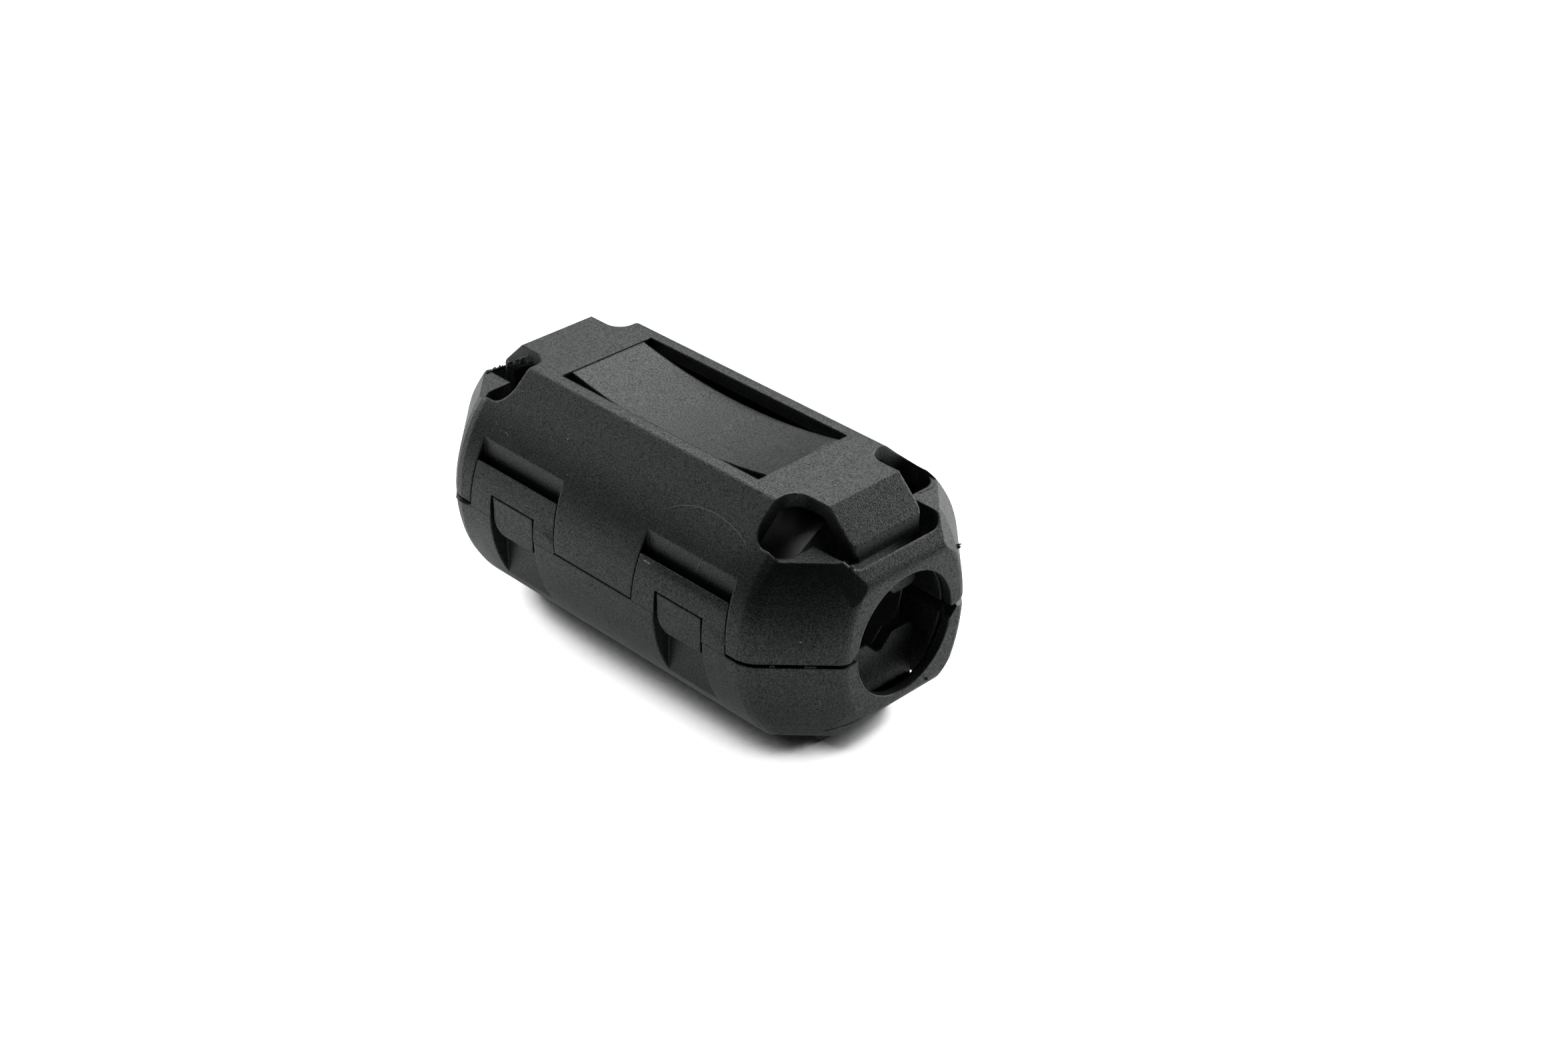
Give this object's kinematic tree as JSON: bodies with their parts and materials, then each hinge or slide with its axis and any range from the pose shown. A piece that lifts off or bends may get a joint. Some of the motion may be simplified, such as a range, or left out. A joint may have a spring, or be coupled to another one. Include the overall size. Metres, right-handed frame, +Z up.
{
  "type": "clip on ferrite bead",
  "caption": "Hinged plastic case in two shells that snaps round a cable, with half a ferrite cylinder in each shell, sprung leaves and cable claws.",
  "frame": {"origin": "on the surface the case rests on, under the middle of the case", "axes": "+X along the cable, -Y to the latch side, +Y to the hinge side, +Z up"},
  "size_m": [0.03, 0.016, 0.0144],
  "materials": {
    "case_plastic": "black nylon with a fine spark-eroded grain",
    "ferrite": "sintered ferrite ceramic, dark grey and matt"
  },
  "bodies": {
    "lower_case": {"lower_shell": "case_plastic", "lower_ferrite": "ferrite", "hinge_strap_near": "case_plastic", "hinge_strap_far": "case_plastic"},
    "upper_case": {"upper_shell": "case_plastic", "upper_ferrite": "ferrite"},
    "near_latch": {"latch_tab_near": "case_plastic"},
    "far_latch": {"latch_tab_far": "case_plastic"}
  },
  "joints": [
    {"name": "case_hinge", "type": "hinge", "parent": "lower_case", "child": "upper_case", "pos_m": [0, 0.008, 0.0072], "axis": [-1, 0, 0], "range_deg": [0, 180], "deforming": ["hinge_strap_near", "hinge_strap_far", "latch_tab_near", "latch_tab_far"]},
    {"name": "latch_near_flex", "type": "hinge", "parent": "lower_case", "child": "near_latch", "pos_m": [0.00655, -0.008, 0.0072], "axis": [1, 0, 0], "range_deg": [0, 35], "stiffness_Nm_per_rad": 0.004},
    {"name": "latch_far_flex", "type": "hinge", "parent": "lower_case", "child": "far_latch", "pos_m": [-0.00655, -0.008, 0.0072], "axis": [1, 0, 0], "range_deg": [0, 35], "stiffness_Nm_per_rad": 0.004}
  ]
}
